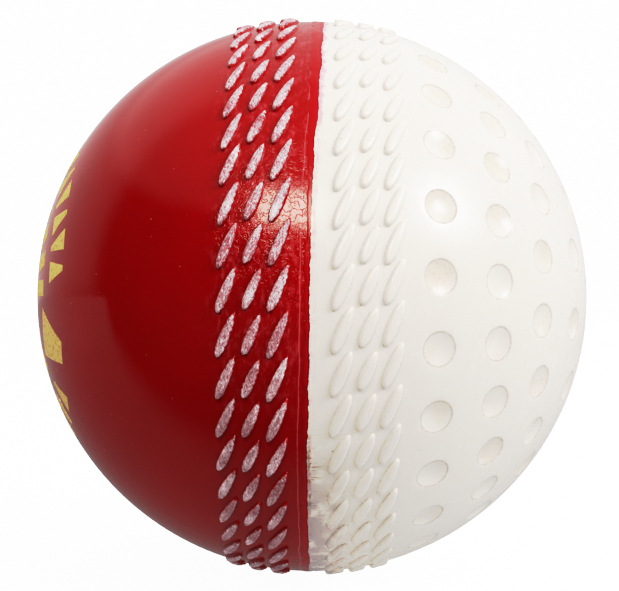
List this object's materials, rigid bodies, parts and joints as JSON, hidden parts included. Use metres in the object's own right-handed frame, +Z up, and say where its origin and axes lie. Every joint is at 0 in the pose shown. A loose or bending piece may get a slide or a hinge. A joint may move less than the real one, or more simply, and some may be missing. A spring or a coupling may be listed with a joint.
{
  "type": "cricket ball",
  "caption": "Two-tone moulded practice cricket ball: a smooth red cup with raised inked stitches and a dimpled white cup, bonded on the equator over a wound cork core",
  "frame": {"origin": "centre of the ball", "axes": "+X is the pole axis, from the red pole to the white pole; the two halves meet on X = 0; +Z is up"},
  "size_m": [0.0719, 0.0731, 0.0732],
  "materials": {
    "red_pvc": "glossy moulded PVC, smooth, with worn white ink on the stitch crests and gold foil marks near the pole",
    "white_pvc": "glossy moulded PVC, dimpled, lightly soiled in the dimples and along the stitches",
    "gold_foil": "gold stamping foil, satin, in plain wedges and bars round the red pole",
    "weld": "bonding compound of the two cover colours, squeezed out at the parting line",
    "yarn": "tightly wound undyed cotton and wool yarn",
    "cork": "pressed cork granules",
    "rubber": "moulded rubber, matte"
  },
  "bodies": {
    "root": {"nucleus": "rubber", "inner_winding": "yarn", "cork_cup_white_side": "cork", "cork_cup_red_side": "cork", "outer_winding": "yarn", "cover_cup_red": "red_pvc", "cover_cup_white": "white_pvc", "weld_bead": "weld"}
  },
  "joints": []
}
